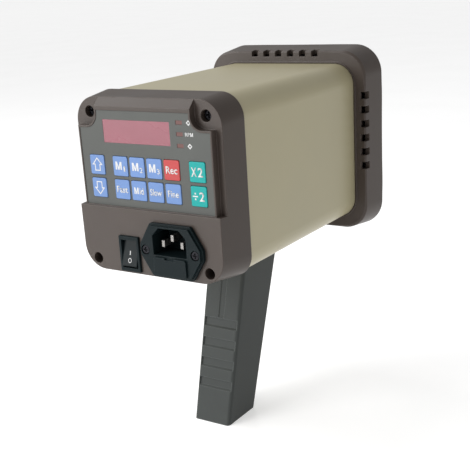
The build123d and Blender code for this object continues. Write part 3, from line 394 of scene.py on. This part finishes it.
def filled_mark(name, points, centre, front, body, tilt=0.0):
    """A printed filled outline of (x, z) points in millimetres about centre."""
    count = len(points)
    turn = Matrix.Rotation(tilt, 3, "X")
    verts = []
    for depth in (-PRINT, PRINT):
        for x, z in points:
            verts.append(turn @ Vector((x * MM, depth, z * MM)) + Vector((centre[0], front, centre[1])))
    faces = [tuple(range(count)), tuple(reversed(range(count, 2 * count)))]
    faces += [(i, i + count, (i + 1) % count + count, (i + 1) % count) for i in range(count)]
    keep(name, mesh_of(name, verts, faces), body, INK)


def letter_m(name, wide, high, centre, front, body):
    """A printed capital M as one outline, wide by high in millimetres."""
    w, h, bar = wide / 2, high / 2, wide * 0.22
    points = [
        (-w, -h), (-w, h), (-w + bar * 1.25, h), (0, -h * 0.35), (w - bar * 1.25, h), (w, h), (w, -h),
        (w - bar, -h), (w - bar, h * 0.35), (bar * 0.42, -h), (-bar * 0.42, -h), (-w + bar, h * 0.35),
        (-w + bar, -h),
    ]
    filled_mark(name, points, centre, front, body)


def face_at(node, x, z):
    """The y at which a level line from behind meets a node's skin at x and z, and the skin's turn about X."""
    obj = NODES[node]
    back = obj.matrix_world.inverted()
    ahead = (back.to_3x3() @ Vector((0, 1, 0))).normalized()
    behind = Vector((x, CAD_BOX[0][1] - 0.1, z))
    _, spot, normal, _ = obj.ray_cast(back @ behind, ahead)
    normal = (obj.matrix_world.to_3x3() @ normal).normalized()
    return (obj.matrix_world @ spot).y, math.atan2(-normal.z, -normal.y)


def middle(node):
    """The (x, z) middle of a node as the user sees it, and the y of its nearest face."""
    low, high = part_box(node)
    return ((low[0] + high[0]) / 2, (low[2] + high[2]) / 2), low[1]


ARROW = [(0, 4.1), (3.5, 0.2), (1.9, 0.2), (1.9, -3.6), (-1.9, -3.6), (-1.9, 0.2), (-3.5, 0.2)]
for node, way in (("key_up", 1), ("key_down", -1)):
    spot, front = middle(node)
    points = [(x * way, z * way) for x, z in ARROW]
    outline_mark(node + "_arrow", points, 0.62, spot, front, node)

# Each word with its width and height in millimetres.
WORDS = {
    "key_record": ("Rec", 8.4, 4.6),
    "key_fast": ("Fast", 8.6, 4.2),
    "key_middle": ("id", 3.0, 4.2),
    "key_slow": ("Slow", 8.9, 4.2),
    "key_fine": ("Fine", 8.0, 4.2),
}
for node, (text, wide, high) in WORDS.items():
    spot, front = middle(node)
    if node == "key_middle":  # its capital M is drawn, not typed
        letter_m("key_middle_letter", 3.4, 4.1, (spot[0] - 2.0 * MM, spot[1]), front, node)
        spot = (spot[0] + 2.0 * MM, spot[1])
    word_mark(node + "_legend", text, (wide * MM, high * MM), spot, front, node, bold=0.00018)
for digit, node in enumerate(("key_store_1", "key_store_2", "key_store_3"), 1):
    spot, front = middle(node)
    at = (spot[0] - 1.3 * MM, spot[1] + 0.3 * MM)
    letter_m(node + "_letter", 4.8, 5.0, at, front, node)
    low = (spot[0] + 3.1 * MM, spot[1] - 1.5 * MM)
    wide = (1.3 if digit == 1 else 2.2) * MM
    word_mark(node + "_digit", str(digit), (wide, 3.2 * MM), low, front, node, bold=0.00010)
for node in ("key_double", "key_halve"):
    spot, front = middle(node)
    at = (spot[0] + 2.2 * MM, spot[1])
    word_mark(node + "_digit", "2", (3.6 * MM, 5.6 * MM), at, front, node, bold=0.00022)
spot, front = middle("key_double")
at = (spot[0] - 2.4 * MM, spot[1])
word_mark("key_double_cross", "X", (4.0 * MM, 5.6 * MM), at, front, "key_double", bold=0.00022)
spot, front = middle("key_halve")
at = (spot[0] - 2.5 * MM, spot[1])
DIVIDE = {
    "bar": [(-1.9, -0.38), (1.9, -0.38), (1.9, 0.38), (-1.9, 0.38)],
    "upper_dot": [(-0.5, 1.2), (0.5, 1.2), (0.5, 2.2), (-0.5, 2.2)],
    "lower_dot": [(-0.5, -2.2), (0.5, -2.2), (0.5, -1.2), (-0.5, -1.2)],
}
for stroke, points in DIVIDE.items():
    filled_mark("key_halve_" + stroke, points, at, front, "key_halve")

leds_low, leds_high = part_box("indicator_leds")
panel_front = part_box("keypad_overlay")[0][1]
DIAMOND = [(0, 1.25), (1.25, 0), (0, -1.25), (-1.25, 0)]
LED_HALF = 1.2 * MM
symbol_x = leds_high[0] + 4.6 * MM
for index, row in enumerate((leds_high[2] - LED_HALF, leds_low[2] + LED_HALF)):
    outline_mark(f"panel_diamond_{index}", DIAMOND, 0.6, (symbol_x, row), panel_front, "housing")
unit_z = (leds_low[2] + leds_high[2]) / 2  # the unit reads RPM, and its M is drawn
word_mark("panel_unit", "RP", (3.2 * MM, 2.2 * MM), (symbol_x - 1.2 * MM, unit_z), panel_front, "housing")
letter_m("panel_unit_letter", 1.9, 2.2, (symbol_x + 1.8 * MM, unit_z), panel_front, "housing")

ON_SHARE, OFF_SHARE = 0.53, 0.25  # how far up the rocker each mark stands
BAR = [(-0.3, -1.3), (0.3, -1.3), (0.3, 1.3), (-0.3, 1.3)]
rocker_low, rocker_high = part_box("switch_rocker")
rocker_x = (rocker_low[0] + rocker_high[0]) / 2
on_z, off_z = (rocker_low[2] + (rocker_high[2] - rocker_low[2]) * share for share in (ON_SHARE, OFF_SHARE))
on_y, lean = face_at("switch_rocker", rocker_x, on_z)
filled_mark("rocker_on", BAR, (rocker_x, on_z), on_y, "rocker", lean)
off_y, lean = face_at("switch_rocker", rocker_x, off_z)
word_mark("rocker_off", "O", (2.6 * MM, 3.2 * MM), (rocker_x, off_z), off_y, "rocker", lean)

# ---- Floor, light and camera ----------------------------------------------------------------------
FLOOR_REACH = 40  # metres each way, so that its end lies close to the horizon
FLOOR_GLOW, SKY_STRENGTH = 0.42, 0.50
floor_look, floor_tree, floor_shader = material("pale_floor", 0.18)
floor_noise = noise(floor_tree, place(floor_tree), 6, 3, 0.5)
floor_tree.links.new(
    mix(floor_tree, spread(floor_tree, floor_noise, 0.3, 0.7), (0.86, 0.86, 0.86), (0.90, 0.90, 0.90)),
    floor_shader.inputs["Base Color"],
)
floor_shader.inputs["Emission Color"].default_value = (1, 1, 1, 1)
floor_shader.inputs["Emission Strength"].default_value = FLOOR_GLOW
corners = [(x * FLOOR_REACH, y * FLOOR_REACH, 0) for x, y in ((-1, -1), (1, -1), (1, 1), (-1, 1))]
floor = mesh_of("floor", corners, [(0, 1, 2, 3)])
floor.data.materials.append(floor_look)

world = bpy.data.worlds.new("studio")
SCENE.world = world
world.use_nodes = True
world.node_tree.nodes["Background"].inputs["Color"].default_value = (1, 1, 1, 1)
world.node_tree.nodes["Background"].inputs["Strength"].default_value = SKY_STRENGTH


def softbox(name, spot, aim, size, power):
    """A white rectangular light of a size in metres and a power in watts, at spot and turned to aim."""
    data = bpy.data.lights.new(name, "AREA")
    data.shape = "RECTANGLE"
    data.size, data.size_y = size
    data.energy = power
    lamp = bpy.data.objects.new(name, data)
    lamp.location = spot
    lamp.rotation_mode = "QUATERNION"
    lamp.rotation_quaternion = (Vector(aim) - Vector(spot)).to_track_quat("-Z", "Y")
    SCENE.collection.objects.link(lamp)


AIM, LOW_AIM = (0, 0.02, 0.15), (0, 0, 0.05)
softbox("key_light", (-0.85, -1.30, 0.75), AIM, (0.9, 0.9), 17)
softbox("low_key", (-0.80, -1.15, 0.16), LOW_AIM, (0.6, 0.26), 1.6)
softbox("top_light", (-0.85, -0.1, 1.25), AIM, (1.1, 1.1), 11)

CAMERA_SPOT = (0.3491, -0.4998, 0.3065)
PITCH, ROLL, HEADING = 71.1033, 3.4690, 33.0438  # degrees about X, Y and Z
camera_data = bpy.data.cameras.new("photo_view")
camera_data.sensor_width = 36
camera_data.lens = 71.3949
camera_data.shift_x = 0.016809
camera_data.shift_y = 0.103191
camera = bpy.data.objects.new("photo_view", camera_data)
camera.location = CAMERA_SPOT
camera.rotation_euler = [math.radians(angle) for angle in (PITCH, ROLL, HEADING)]
SCENE.collection.objects.link(camera)
SCENE.camera = camera
SCENE.view_settings.view_transform = "Standard"
